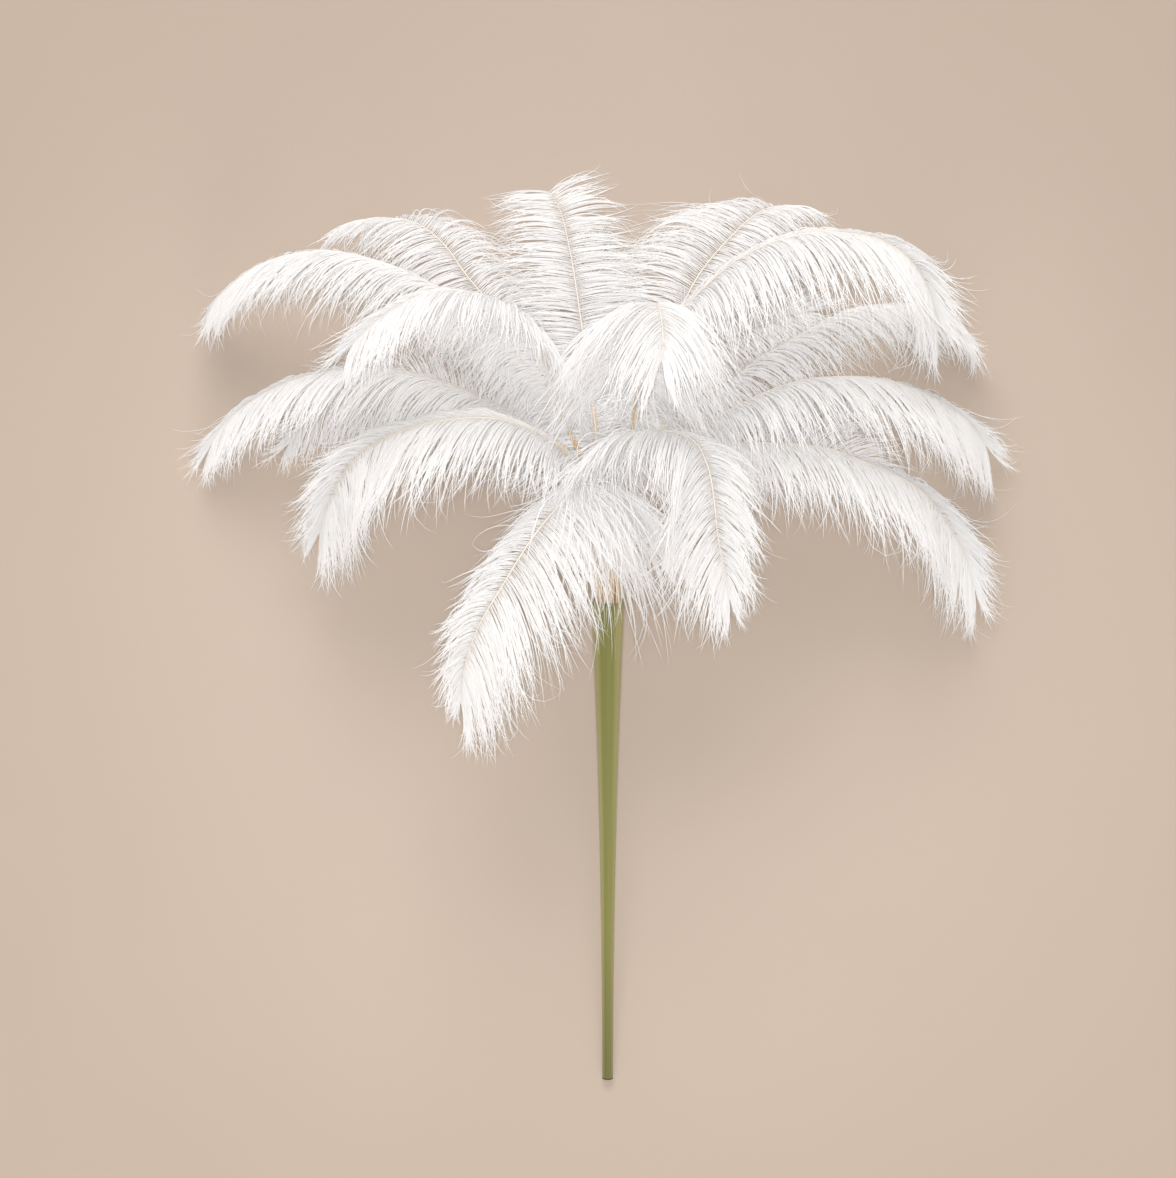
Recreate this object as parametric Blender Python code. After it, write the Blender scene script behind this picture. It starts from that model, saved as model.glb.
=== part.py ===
# A spray of white ostrich plumes held in a slim green stem, lying on a surface.
#
# Metres, +Z up. The surface is z = 0. The stem runs along Y with its foot at -Y, and the plumes
# arch out of its mouth towards +Y and to both sides. The origin is on the surface, under the
# middle of the whole spray. Seen from above, the spray has the outline that it has when it is
# held upright and seen from the front.

import math

import bmesh
import bpy
import numpy as np

millimetre = 0.001

# The stem: a long taper with a cup in its wide end.
mouth_place = (0.014, 0.024, 0.140)
stem_length = 0.577
foot_radius = 0.0064
mouth_radius = 0.0192
cup_depth = 0.050
cup_wall = 0.0022
foot_edge = 0.0009
stem_sides = 28
stem_rings = 11

# A plume: a round quill that carries two wings of long barbs.
quill_radius = 0.0020
quill_depth = 0.040
quill_lean = 0.96
inner_ring = 0.0058
outer_ring = 0.0124
fan_start = 0.080
fan_spread = 1.5
curve_steps = 12
frame_reach = 0.006
bare_stations = 4
quill_corner = 12.0
vane_gap = 0.004
vane_end = 0.985
vane_stations = 11
vane_half = 0.0017
edge_half = 0.0007
wing_points = 3
wing_steps = 9
base_scale = 0.45
full_share = 0.30
tip_scale = 0.35
tip_power = 4
widest_sweep = 66.0
narrowest_sweep = 28.0
sweep_power = 1.5
camber = 12.0
least_lean = 0.15
least_advance = 0.25
ease_turns = 80

# Each plume's shaft is a curve through a few points, in millimetres from the stem's mouth (x, y) and
# from the surface (z). facing is the way the plume leans out of the spray, in degrees round the stem:
# 0 is up from the surface, 90 is +X and -90 is -X, and None lies flat. slot is its quill's place in
# the cup: the ring (0 inner, 1 outer) and the angle. bare is the length of shaft below the first
# barbs, barb the longest barbs on the two sides of the shaft, and droop how far they hang.
plumes = {
    "plume_front_dome": {
        "route": [(16, 148, 203), (27, 199, 230), (33, 243, 265), (39, 287, 305), (45, 322, 345),
                  (53, 331, 368), (58, 316, 388), (60, 283, 395), (57, 250, 385)],
        "facing": -5, "slot": (0, 60), "bare": 215, "barb": (116, 106), "droop": 2.0,
    },
    "plume_left_dome": {
        "route": [(-29, 160, 197), (-49, 207, 216), (-64, 252, 244), (-84, 292, 276), (-112, 328, 308),
                  (-152, 345, 330), (-196, 345, 338), (-246, 322, 326), (-288, 287, 296), (-306, 252, 270)],
        "facing": -45, "slot": (0, 120), "bare": 310, "barb": (88, 110), "droop": 2.4,
    },
    "plume_right_crown": {
        "route": [(32, 205, 210), (64, 283, 232), (82, 326, 244), (111, 356, 255), (139, 380, 266),
                  (180, 402, 278), (223, 413, 284), (265, 414, 280), (307, 407, 266), (337, 390, 248),
                  (357, 367, 226), (372, 334, 198), (384, 289, 156)],
        "facing": 70, "slot": (0, 0), "bare": 362, "barb": (178, 140), "droop": 2.6,
    },
    "plume_left_high": {
        "route": [(-44, 190, 186), (-123, 305, 203), (-222, 371, 194), (-271, 390, 182),
                  (-326, 401, 161), (-395, 390, 119), (-444, 360, 71), (-486, 316, 20)],
        "facing": -90, "slot": (0, 180), "bare": 300, "barb": (100, 140), "droop": 2.6,
    },
    "plume_right_high": {
        "route": [(42, 184, 154), (134, 246, 142), (173, 277, 130), (208, 297, 122), (243, 318, 112),
                  (280, 336, 99), (319, 342, 84), (349, 343, 68), (400, 332, 38), (442, 281, 8)],
        "facing": 100, "slot": (0, 300), "bare": 300, "barb": (94, 100), "droop": 2.6,
    },
    "plume_top": {
        "route": [(-18, 230, 140), (-31, 322, 118), (-44, 405, 95), (-58, 459, 72), (-79, 487, 50)],
        "facing": 180, "slot": (0, 240), "bare": 220, "barb": (115, 115), "droop": 0.6,
    },
    "plume_front_left": {
        "route": [(-12, 108, 212), (-29, 128, 242), (-52, 111, 266), (-87, 68, 284), (-122, 12, 290),
                  (-146, -29, 282), (-161, -71, 265), (-167, -113, 240), (-167, -156, 205)],
        "facing": -25, "slot": (1, 105), "bare": 110, "barb": (95, 165), "droop": 1.6,
    },
    "plume_front_right": {
        "route": [(0, 143, 214), (19, 178, 254), (61, 191, 284), (96, 179, 299), (111, 152, 303),
                  (118, 118, 302), (123, 73, 291), (132, 28, 271), (146, -44, 230)],
        "facing": 35, "slot": (1, 75), "bare": 190, "barb": (155, 104), "droop": 1.8,
    },
    "plume_left_low": {
        "route": [(-32, 143, 205), (-68, 182, 238), (-117, 203, 262), (-152, 206, 268),
                  (-199, 201, 262), (-239, 190, 242), (-282, 166, 205), (-306, 140, 170),
                  (-325, 103, 125), (-344, 43, 65)],
        "facing": -60, "slot": (1, 135), "bare": 205, "barb": (96, 140), "droop": 2.6,
    },
    "plume_right_low": {
        "route": [(38, 149, 184), (99, 176, 196), (168, 179, 198), (213, 178, 192), (248, 174, 184),
                  (292, 159, 167), (333, 143, 145), (364, 124, 122), (394, 88, 86), (419, 45, 50),
                  (440, -35, 8)],
        "facing": 75, "slot": (1, 10), "bare": 245, "barb": (146, 125), "droop": 2.6,
    },
    "plume_right_middle": {
        "route": [(40, 154, 197), (116, 204, 200), (175, 235, 204), (218, 250, 202), (263, 255, 193),
                  (309, 254, 174), (347, 245, 148), (381, 231, 118), (417, 209, 80), (440, 181, 45),
                  (463, 138, 20)],
        "facing": 80, "slot": (1, 36), "bare": 255, "barb": (145, 115), "droop": 2.6,
    },
    "plume_left_middle": {
        "route": [(-38, 160, 172), (-84, 201, 168), (-129, 223, 163), (-177, 244, 157), (-250, 265, 144),
                  (-319, 264, 122), (-386, 246, 86), (-449, 203, 40), (-484, 138, 8)],
        "facing": -90, "slot": (1, 162), "bare": 255, "barb": (120, 118), "droop": 2.6,
    },
    "plume_back_left": {
        "route": [(-38, 196, 132), (-96, 294, 102), (-162, 374, 86), (-194, 417, 76), (-232, 442, 62),
                  (-277, 440, 46), (-309, 417, 28)],
        "facing": -140, "slot": (1, 190), "bare": 285, "barb": (80, 85), "droop": 1.8,
    },
    "plume_back_right": {
        "route": [(48, 242, 138), (97, 362, 122), (122, 398, 112), (144, 422, 102), (167, 444, 88),
                  (198, 458, 68), (241, 441, 40)],
        "facing": 125, "slot": (1, 335), "bare": 250, "barb": (90, 72), "droop": 1.4,
    },
    "plume_back_middle": {
        "route": [(-14, 161, 122), (-16, 202, 104), (9, 228, 84), (60, 262, 60), (124, 298, 44),
                  (189, 325, 30), (260, 341, 16)],
        "facing": None, "slot": (1, 268), "bare": 190, "barb": (62, 85), "droop": 0.8,
    },
    "plume_under_left": {
        "route": [(-56, 160, 102), (-130, 215, 58), (-210, 240, 28), (-290, 235, 12), (-350, 205, 6),
                  (-390, 165, 3)],
        "facing": None, "slot": (1, 215), "bare": 200, "barb": (95, 95), "droop": 0.8,
    },
    "plume_under_middle": {
        "route": [(-22, 196, 88), (-16, 302, 44), (-14, 385, 18), (-14, 435, 4)],
        "facing": None, "slot": (1, 240), "bare": 260, "barb": (75, 75), "droop": 0.6,
    },
    "plume_under_right": {
        "route": [(60, 150, 98), (130, 175, 52), (210, 180, 24), (290, 165, 8), (350, 130, 3)],
        "facing": None, "slot": (1, 300), "bare": 190, "barb": (95, 95), "droop": 0.8,
    },
}

photo_down = np.array([0.0, -1.0, 0.0])
surface_up = np.array([0.0, 0.0, 1.0])


def unit(vectors):
    lengths = np.linalg.norm(vectors, axis=-1, keepdims=True)
    return vectors / np.maximum(lengths, 1e-9)


def clear_scene():
    for thing in list(bpy.data.objects):
        bpy.data.objects.remove(thing, do_unlink=True)


def finish_material(name, colour, roughness):
    material = bpy.data.materials.new(name)
    material.use_nodes = True
    shader = material.node_tree.nodes["Principled BSDF"]
    shader.inputs["Base Color"].default_value = (*colour, 1.0)
    shader.inputs["Roughness"].default_value = roughness
    shader.inputs["Metallic"].default_value = 0.0
    return material


def add_object(name, shape, material):
    if shape.calc_volume(signed=True) < 0.0:
        bmesh.ops.reverse_faces(shape, faces=shape.faces)
    mesh = bpy.data.meshes.new(name)
    shape.to_mesh(mesh)
    shape.free()
    mesh.materials.append(material)
    mesh.shade_smooth()
    thing = bpy.data.objects.new(name, mesh)
    bpy.context.scene.collection.objects.link(thing)
    return thing


def stem_frame():
    """The stem's foot, mouth, and its three directions: along it, across it and up from it."""
    mouth = np.array(mouth_place)
    tilt = math.asin((mouth[2] - foot_radius) / stem_length)
    foot = mouth - stem_length * np.array([0.0, math.cos(tilt), math.sin(tilt)])
    # The lower edge of the foot's full width is the stem's lowest point, and it lies on the surface.
    foot[2] = foot_radius * math.cos(tilt) - foot_edge * math.sin(tilt)
    along = unit(mouth - foot)
    across = np.array([1.0, 0.0, 0.0])
    return foot, mouth, along, across, np.cross(across, along)


def stem_radius(distance):
    share = distance / stem_length
    return foot_radius + (mouth_radius - foot_radius) * share**2


def ring(centre, across, lift, radius, sides):
    turn = np.arange(sides) * 2 * math.pi / sides
    return centre + radius * (np.outer(np.cos(turn), across) + np.outer(np.sin(turn), lift))


def loft(loops, close_end):
    """Joins loops of equally many points with triangles, and closes the flat start and the end.

    The second half of each loop is split along the other diagonal, so that on a thin twisted vane
    the lower face follows the upper one.
    """
    shape = bmesh.new()
    rows = [[shape.verts.new(point) for point in loop] for loop in loops]
    for row, after in zip(rows, rows[1:]):
        count = len(row)
        for i in range(count):
            j = (i + 1) % count
            if i < count // 2:
                shape.faces.new((row[i], row[j], after[j]))
                shape.faces.new((row[i], after[j], after[i]))
            else:
                shape.faces.new((row[i], row[j], after[i]))
                shape.faces.new((row[j], after[j], after[i]))
    shape.faces.new(rows[0][::-1])
    close_end(shape, rows[-1])
    return shape


def flat_cap(shape, row):
    shape.faces.new(row)


def strip_cap(shape, row):
    """Closes a flat loop whose first half lies over its second half, in reverse order."""
    half = len(row) // 2
    for i in range(half - 1):
        shape.faces.new((row[-1 - i], row[i], row[i + 1], row[-2 - i]))


def build_stem():
    foot, mouth, along, across, lift = stem_frame()
    length = float(np.linalg.norm(mouth - foot))
    loops = [ring(foot, across, lift, foot_radius - foot_edge, stem_sides)]
    loops.append(ring(foot + along * foot_edge, across, lift, foot_radius, stem_sides))
    for step in range(1, stem_rings + 1):
        distance = length * step / stem_rings
        loops.append(ring(foot + along * distance, across, lift, stem_radius(distance), stem_sides))
    cup_top = mouth_radius - cup_wall
    cup_floor = stem_radius(length - cup_depth) - cup_wall
    loops.append(ring(mouth, across, lift, cup_top, stem_sides))
    loops.append(ring(mouth - along * cup_depth, across, lift, cup_floor, stem_sides))
    shape = loft(loops, flat_cap)
    return add_object("stem", shape, finish_material("stem green", (0.235, 0.245, 0.075), 0.45))


def spline(points, per_span):
    """A smooth curve through the points, as a dense row of points."""
    points = np.asarray(points, float)
    ends = np.vstack([2 * points[0] - points[1], points, 2 * points[-1] - points[-2]])
    rows = []
    for i in range(1, len(ends) - 2):
        a, b, c, d = ends[i - 1:i + 3]
        # Knots spaced by the root of each chord keep the curve free of loops.
        knots = np.cumsum([0.0] + [math.sqrt(np.linalg.norm(q - p)) for p, q in ((a, b), (b, c), (c, d))])
        for t in np.linspace(knots[1], knots[2], per_span, endpoint=False):
            ab = ((knots[1] - t) * a + t * b) / knots[1]
            bc = ((knots[2] - t) * b + (t - knots[1]) * c) / (knots[2] - knots[1])
            cd = ((knots[3] - t) * c + (t - knots[2]) * d) / (knots[3] - knots[2])
            abc = ((knots[2] - t) * ab + t * bc) / knots[2]
            bcd = ((knots[3] - t) * bc + (t - knots[1]) * cd) / (knots[3] - knots[1])
            rows.append(((knots[2] - t) * abc + (t - knots[1]) * bcd) / (knots[2] - knots[1]))
    rows.append(points[-1])
    return np.array(rows)


def shaft_curve(plume):
    """The shaft from its end in the cup to its tip, with the distance along it at each point."""
    foot, mouth, along, across, lift = stem_frame()
    ring_radius = (inner_ring, outer_ring)[plume["slot"][0]]
    angle = math.radians(plume["slot"][1])
    offset = ring_radius * (math.cos(angle) * across + math.sin(angle) * lift)
    route = [mouth + offset * quill_lean - along * quill_depth, mouth + offset]
    route.append(mouth + along * fan_start + offset * fan_spread)
    for x, y, z in plume["route"]:
        route.append(np.array([x * millimetre + mouth[0], y * millimetre + mouth[1], z * millimetre]))
    curve = spline(route, curve_steps)
    steps = np.linalg.norm(np.diff(curve, axis=0), axis=1)
    return curve, np.concatenate([[0.0], np.cumsum(steps)])


def along_curve(curve, distances, where):
    return np.stack([np.interp(where, distances, curve[:, i]) for i in range(3)], axis=-1)


def shaft_frame(plume, curve, distances, where):
    """Place, direction, sideways direction and back of the shaft at each distance."""
    ahead = along_curve(curve, distances, np.minimum(where + frame_reach, distances[-1]))
    behind = along_curve(curve, distances, np.maximum(where - frame_reach, 0.0))
    forward = unit(ahead - behind)
    if plume["facing"] is None:
        side = unit(np.cross(surface_up, forward))
    else:
        facing = math.radians(plume["facing"])
        hint = np.array([math.cos(facing), 0.0, -math.sin(facing)])
        side = unit(hint - (forward @ hint)[:, None] * forward)
    return along_curve(curve, distances, where), forward, side, np.cross(forward, side)


def smooth_step(low, high, value):
    share = np.clip((value - low) / (high - low), 0.0, 1.0)
    return share * share * (3.0 - 2.0 * share)


def barb_length(plume, share, sign):
    rise = base_scale + (1.0 - base_scale) * smooth_step(0.0, full_share, share)
    fall = 1.0 - (1.0 - tip_scale) * share**tip_power
    return plume["barb"][sign > 0] * millimetre * rise * fall


def barb_sweep(share):
    return np.radians(widest_sweep + (narrowest_sweep - widest_sweep) * share**sweep_power)


def wing(plume, frame, share, sign):
    """Points along one barb at each station, from the shaft out: (stations, wing_points, 3)."""
    place, forward, side, back = frame
    sweep = barb_sweep(share)[:, None]
    length = barb_length(plume, share, sign)[:, None]
    rise = math.radians(camber)
    outward = sign * side * math.cos(rise) + back * math.sin(rise)
    leave = forward * np.cos(sweep) + outward * np.sin(sweep)
    point = place.copy()
    found = []
    for step in range(wing_steps):
        hang = plume["droop"] * (step + 0.5) / wing_steps
        heading = unit(leave + photo_down * hang)
        # A hanging barb keeps some of its lean away from the shaft.
        lean = (heading * outward).sum(axis=1, keepdims=True)
        heading = unit(heading + outward * np.maximum(least_lean - lean, 0.0))
        point = point + heading * length / wing_steps
        if (step + 1) % (wing_steps // wing_points) == 0:
            found.append(point)
    return np.stack(found, axis=1)


def ease_crossings(rows):
    """Spreads the barbs that cross their neighbours where the shaft bends, and leaves the shaft alone."""
    shaft = rows[:, wing_points].copy()
    shaft_steps = np.diff(shaft, axis=0)
    shaft_lengths = np.linalg.norm(shaft_steps, axis=1)
    for turn in range(ease_turns):
        advance = (np.diff(rows, axis=0) * unit(shaft_steps)[:, None]).sum(axis=2)
        crossing = advance < least_advance * shaft_lengths[:, None]
        if not crossing.any():
            break
        moved = np.zeros(rows.shape[:2], bool)
        moved[1:-1] = crossing[1:] | crossing[:-1]
        middle = rows.copy()
        middle[1:-1] = (rows[:-2] + rows[2:]) / 2
        rows = np.where(moved[:, :, None], (rows + middle) / 2, rows)
        rows[:, wing_points] = shaft
    return rows


def half_thickness():
    """Half the vane's thickness at each point of a row, thinning towards both edges."""
    spread = np.abs(np.linspace(-1.0, 1.0, 2 * wing_points + 1))
    return vane_half + (edge_half - vane_half) * spread


def vane_rows(plume, curve, distances, where, share):
    """The vane's middle surface: one row of points across both wings at each station."""
    frame = shaft_frame(plume, curve, distances, where)
    left = wing(plume, frame, share, -1)[:, ::-1]
    right = wing(plume, frame, share, 1)
    rows = ease_crossings(np.concatenate([left, frame[0][:, None], right], axis=1))
    # Barbs that would pass through the surface lie on it.
    rows[:, :, 2] = np.maximum(rows[:, :, 2], half_thickness())
    return rows


def quill_loops(plume, curve, distances, end):
    """Round sections of the bare quill, with as many points as a vane section has."""
    place, forward, side, back = shaft_frame(plume, curve, distances, np.linspace(0.0, end, bare_stations + 1))
    turn = np.radians(np.linspace(180.0 - quill_corner, quill_corner, 2 * wing_points + 1))
    turns = np.concatenate([turn, -turn[::-1]])
    loops = []
    for i in range(len(place)):
        spokes = np.outer(np.cos(turns), side[i]) + np.outer(np.sin(turns), back[i])
        loops.append(place[i] + spokes * quill_radius)
    return loops


def build_plume(name, plume, material):
    curve, distances = shaft_curve(plume)
    start = quill_depth + plume["bare"] * millimetre
    share = np.linspace(0.0, 1.0, vane_stations)
    where = start + (distances[-1] - start) * share * vane_end
    rows = vane_rows(plume, curve, distances, where, share)
    normal = unit(np.cross(np.gradient(rows, axis=0), np.gradient(rows, axis=1)))
    half = half_thickness()[None, :, None]
    upper = rows + normal * half
    lower = rows - normal * half
    upper[:, :, 2] = np.maximum(upper[:, :, 2], 0.0)
    lower[:, :, 2] = np.maximum(lower[:, :, 2], 0.0)
    loops = quill_loops(plume, curve, distances, start - vane_gap)
    for i in range(vane_stations):
        loops.append(np.concatenate([upper[i], lower[i][::-1]]))
    return add_object(name, loft(loops, strip_cap), material)


def main():
    clear_scene()
    build_stem()
    white = finish_material("plume white", (0.86, 0.83, 0.80), 0.8)
    for name, plume in plumes.items():
        build_plume(name, plume, white)


main()
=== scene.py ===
import math

import bpy
import numpy as np
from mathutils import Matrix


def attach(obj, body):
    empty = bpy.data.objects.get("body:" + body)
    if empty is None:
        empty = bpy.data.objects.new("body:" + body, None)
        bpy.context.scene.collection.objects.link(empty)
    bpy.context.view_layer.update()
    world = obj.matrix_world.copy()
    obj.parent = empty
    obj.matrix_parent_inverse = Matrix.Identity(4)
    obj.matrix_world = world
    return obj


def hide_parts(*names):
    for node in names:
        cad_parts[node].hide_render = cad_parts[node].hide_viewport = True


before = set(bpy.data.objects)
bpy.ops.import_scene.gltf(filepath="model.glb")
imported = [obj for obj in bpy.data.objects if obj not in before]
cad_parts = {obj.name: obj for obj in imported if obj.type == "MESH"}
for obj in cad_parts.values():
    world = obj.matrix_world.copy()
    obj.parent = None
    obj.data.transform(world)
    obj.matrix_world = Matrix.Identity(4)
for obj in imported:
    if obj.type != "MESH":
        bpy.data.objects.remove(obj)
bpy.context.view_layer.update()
print("frame loaded:", len(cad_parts), "nodes")

millimetre = 0.001
photoDown = np.array([0.0, -1.0, 0.0])
surfaceUp = np.array([0.0, 0.0, 1.0])
mapName = "OFBake"


# The camera is straight above the spray, with the photo's up along +Y.
cameraSetup = {
    "height": 7.0,  # above the surface
    "focusHeight": 0.140,  # the level at which one photo pixel is pixelSize across
    "pixelSize": 0.00115,
    "imageWidth": 1176,
    "centre": (-0.009, 0.03665),
    "sensor": 36.0,
}


def addCamera(setup):
    data = bpy.data.cameras.new("spray camera")
    data.sensor_fit = "HORIZONTAL"
    data.sensor_width = setup["sensor"]
    shown = setup["imageWidth"] * setup["pixelSize"]
    data.lens = setup["sensor"] * (setup["height"] - setup["focusHeight"]) / shown
    data.clip_start = 0.1
    data.clip_end = 100.0
    camera = bpy.data.objects.new("spray camera", data)
    camera.location = (*setup["centre"], setup["height"])
    bpy.context.scene.collection.objects.link(camera)
    bpy.context.scene.camera = camera


addCamera(cameraSetup)
print("camera placed")


def newMaterial(name):
    material = bpy.data.materials.new(name)
    material.use_nodes = True
    tree = material.node_tree
    return material, tree, tree.nodes["Principled BSDF"]


def addNode(tree, kind, **settings):
    node = tree.nodes.new(kind)
    for key, value in settings.items():
        setattr(node, key, value)
    return node


def addRamp(tree, source, stops):
    ramp = addNode(tree, "ShaderNodeValToRGB")
    tree.links.new(source, ramp.inputs["Fac"])
    marks = ramp.color_ramp.elements
    while len(marks) < len(stops):
        marks.new(0.5)
    for mark, (place, colour) in zip(marks, stops):
        mark.position = place
        mark.color = (*colour, 1.0)
    return ramp.outputs["Color"]


def addNoise(tree, vector, scale, detail=3.0, roughness=0.5):
    noise = addNode(tree, "ShaderNodeTexNoise")
    noise.inputs["Scale"].default_value = scale
    noise.inputs["Detail"].default_value = detail
    noise.inputs["Roughness"].default_value = roughness
    tree.links.new(vector, noise.inputs["Vector"])
    return noise.outputs["Fac"]


def addRange(tree, source, low, high):
    span = addNode(tree, "ShaderNodeMapRange")
    span.inputs["To Min"].default_value = low
    span.inputs["To Max"].default_value = high
    tree.links.new(source, span.inputs["Value"])
    return span.outputs["Result"]


def addStretch(tree, vector, scale):
    stretch = addNode(tree, "ShaderNodeMapping")
    stretch.inputs["Scale"].default_value = scale
    tree.links.new(vector, stretch.inputs["Vector"])
    return stretch.outputs["Vector"]


def addTint(tree, colour, shade):
    tint = addNode(tree, "ShaderNodeMix", data_type="RGBA", blend_type="MULTIPLY")
    tint.inputs["Factor"].default_value = 1.0
    tree.links.new(colour, tint.inputs["A"])
    tree.links.new(shade, tint.inputs["B"])
    return tint.outputs["Result"]


def addBump(tree, height, strength, distance, shader):
    bump = addNode(tree, "ShaderNodeBump")
    bump.inputs["Strength"].default_value = strength
    bump.inputs["Distance"].default_value = distance
    tree.links.new(height, bump.inputs["Height"])
    tree.links.new(bump.outputs["Normal"], shader.inputs["Normal"])


def readMap(tree):
    # on barbs X is the place along the shaft, elsewhere the place round it; Y is the place along the piece
    layout = addNode(tree, "ShaderNodeUVMap", uv_map=mapName).outputs["UV"]
    parts = addNode(tree, "ShaderNodeSeparateXYZ")
    tree.links.new(layout, parts.inputs["Vector"])
    return layout, parts.outputs


barbFinish = {
    "stops": [  # from the shaft to the barb's tip
        # the cream at the shaft's end is painted warm shade, for the shade deep inside the spray
        (0.000, (0.900, 0.840, 0.770)),
        (0.030, (0.950, 0.925, 0.905)),
        (0.120, (0.976, 0.959, 0.948)),
        (0.600, (0.984, 0.970, 0.964)),
        (1.000, (0.986, 0.974, 0.969)),
    ],
    "streaks": (0.97, 1.01),
    "streakStretch": (420.0, 5.0, 1.0),
    "roughness": (0.50, 0.72),
    "roughStretch": (90.0, 12.0, 1.0),
    "barbuleScale": 26.0,  # bands of fine barbules along each barb
    "barbuleDistortion": 2.0,
    "bump": (0.25, 0.0003),
    "through": 0.36,  # how much light passes to the far side
    "sheen": 0.30,
    "sheenRoughness": 0.4,
    "gloss": 0.25,
}


def makeBarbMaterial(look):
    material, tree, shader = newMaterial("white barb")
    layout, parts = readMap(tree)
    # painted warm shade: the ramp creams each barb near the shaft
    colour = addRamp(tree, parts["Y"], look["stops"])
    streak = addNoise(tree, addStretch(tree, layout, look["streakStretch"]), 1.0, 2.0)
    colour = addTint(tree, colour, addRange(tree, streak, *look["streaks"]))
    tree.links.new(colour, shader.inputs["Base Color"])
    rough = addNoise(tree, addStretch(tree, layout, look["roughStretch"]), 1.0, 2.0)
    tree.links.new(addRange(tree, rough, *look["roughness"]), shader.inputs["Roughness"])
    barbules = addNode(tree, "ShaderNodeTexWave", bands_direction="Y")
    barbules.inputs["Scale"].default_value = look["barbuleScale"]
    barbules.inputs["Distortion"].default_value = look["barbuleDistortion"]
    tree.links.new(layout, barbules.inputs["Vector"])
    addBump(tree, barbules.outputs["Fac"], *look["bump"], shader)
    shader.inputs["Sheen Weight"].default_value = look["sheen"]
    shader.inputs["Sheen Roughness"].default_value = look["sheenRoughness"]
    shader.inputs["Specular IOR Level"].default_value = look["gloss"]
    glow = addNode(tree, "ShaderNodeBsdfTranslucent")
    tree.links.new(colour, glow.inputs["Color"])
    both = addNode(tree, "ShaderNodeMixShader")
    both.inputs["Fac"].default_value = look["through"]
    tree.links.new(shader.outputs["BSDF"], both.inputs[1])
    tree.links.new(glow.outputs["BSDF"], both.inputs[2])
    tree.links.new(both.outputs["Shader"], tree.nodes["Material Output"].inputs["Surface"])
    return material


shaftFinish = {
    "stops": [  # from the quill's end to the shaft's tip, with the first barbs at 0.5
        (0.00, (0.66, 0.46, 0.24)),
        (0.34, (0.72, 0.53, 0.30)),
        (0.48, (0.75, 0.59, 0.40)),
        (0.56, (0.74, 0.65, 0.55)),
        (1.00, (0.86, 0.82, 0.79)),
    ],
    "mottle": (0.90, 1.05),
    "mottleStretch": (160.0, 60.0, 1.0),
    "roughness": (0.32, 0.50),
    "bump": (0.2, 0.0002),
}


def makeShaftMaterial(look):
    material, tree, shader = newMaterial("cream shaft")
    layout, parts = readMap(tree)
    colour = addRamp(tree, parts["Y"], look["stops"])
    mottle = addNoise(tree, addStretch(tree, layout, look["mottleStretch"]), 1.0)
    colour = addTint(tree, colour, addRange(tree, mottle, *look["mottle"]))
    tree.links.new(colour, shader.inputs["Base Color"])
    tree.links.new(addRange(tree, mottle, *look["roughness"]), shader.inputs["Roughness"])
    addBump(tree, mottle, *look["bump"], shader)
    return material


barbMaterial = makeBarbMaterial(barbFinish)
shaftMaterial = makeShaftMaterial(shaftFinish)
print("plume finishes made")


# The quills start from the stem's line, so its shape comes before the plumes.
stemShape = {
    "mouth": (0.014, 0.024, 0.140),
    "length": 0.577,
    "footRadius": 0.0064,
    "mouthRadius": 0.0192,
    "cupDepth": 0.050,
    "cupWall": 0.0022,
    "footEdge": 0.0009,
    "sides": 96,
    "rings": 60,
    "rimLength": 0.0018,
    "mouthRound": 0.0002,
    "cupRings": 10,
}


def unit(vectors):
    lengths = np.linalg.norm(vectors, axis=-1, keepdims=True)
    return vectors / np.maximum(lengths, 1e-9)


def stemLine(shape):
    mouth = np.array(shape["mouth"])
    tilt = math.asin((mouth[2] - shape["footRadius"]) / shape["length"])
    foot = mouth - shape["length"] * np.array([0.0, math.cos(tilt), math.sin(tilt)])
    foot[2] = shape["footRadius"] * math.cos(tilt) - shape["footEdge"] * math.sin(tilt)
    along = unit(mouth - foot)
    across = np.array([1.0, 0.0, 0.0])
    return foot, mouth, along, across, np.cross(across, along)


quillShape = {
    "radius": 0.0022,
    "vaneRadius": 0.00130,  # of the shaft where the barbs start
    "tipRadius": 0.00030,
    "depth": 0.040,  # of the quill in the stem's cup
    "lean": 0.96,  # how far out the quill's end is, as a share of its ring
    "rings": (0.0058, 0.0124),  # of the quills in the cup
    "fanStart": 0.080,  # how far above the mouth the quills have spread
    "fanSpread": 1.5,
    "sides": 8,
    "rows": 72,
}

vaneShape = {
    "firstShare": -0.12,
    "fullShare": 0.25,
    "tipPower": 4,
    "sweepPower": 2.2,
    "leastLean": 0.15,
    "early": 0.045,  # how far below the vane's base the first soft barbs grow
    "steps": 10,
    "barbsPerMetre": 800.0,
    "strayShare": 0.12,
    "tuft": 3.0,  # barbs that gather into one
    "hold": (0.0, 0.30),  # how far a barb moves to its tuft
    "tuftSpread": (0.75, 1.1),
    "tuftReach": (0.35, 0.90),  # where along a barb its tuft takes hold
    "ceiling": 0.420,  # barbs that stand higher than this bend over
    "bend": 0.03,  # how much higher than the ceiling a barb can reach at most
    "floorGap": 0.0006,
    "leaves": 0.8,  # share of the shaft's radius at which a barb starts
    "closingFrom": 0.80,  # share of the vane where the last barbs start to lie along the shaft
    "closing": 0.6,
    "skirtTuft": 3.0,
    "skirtHold": (0.0, 0.35),
}

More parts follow.
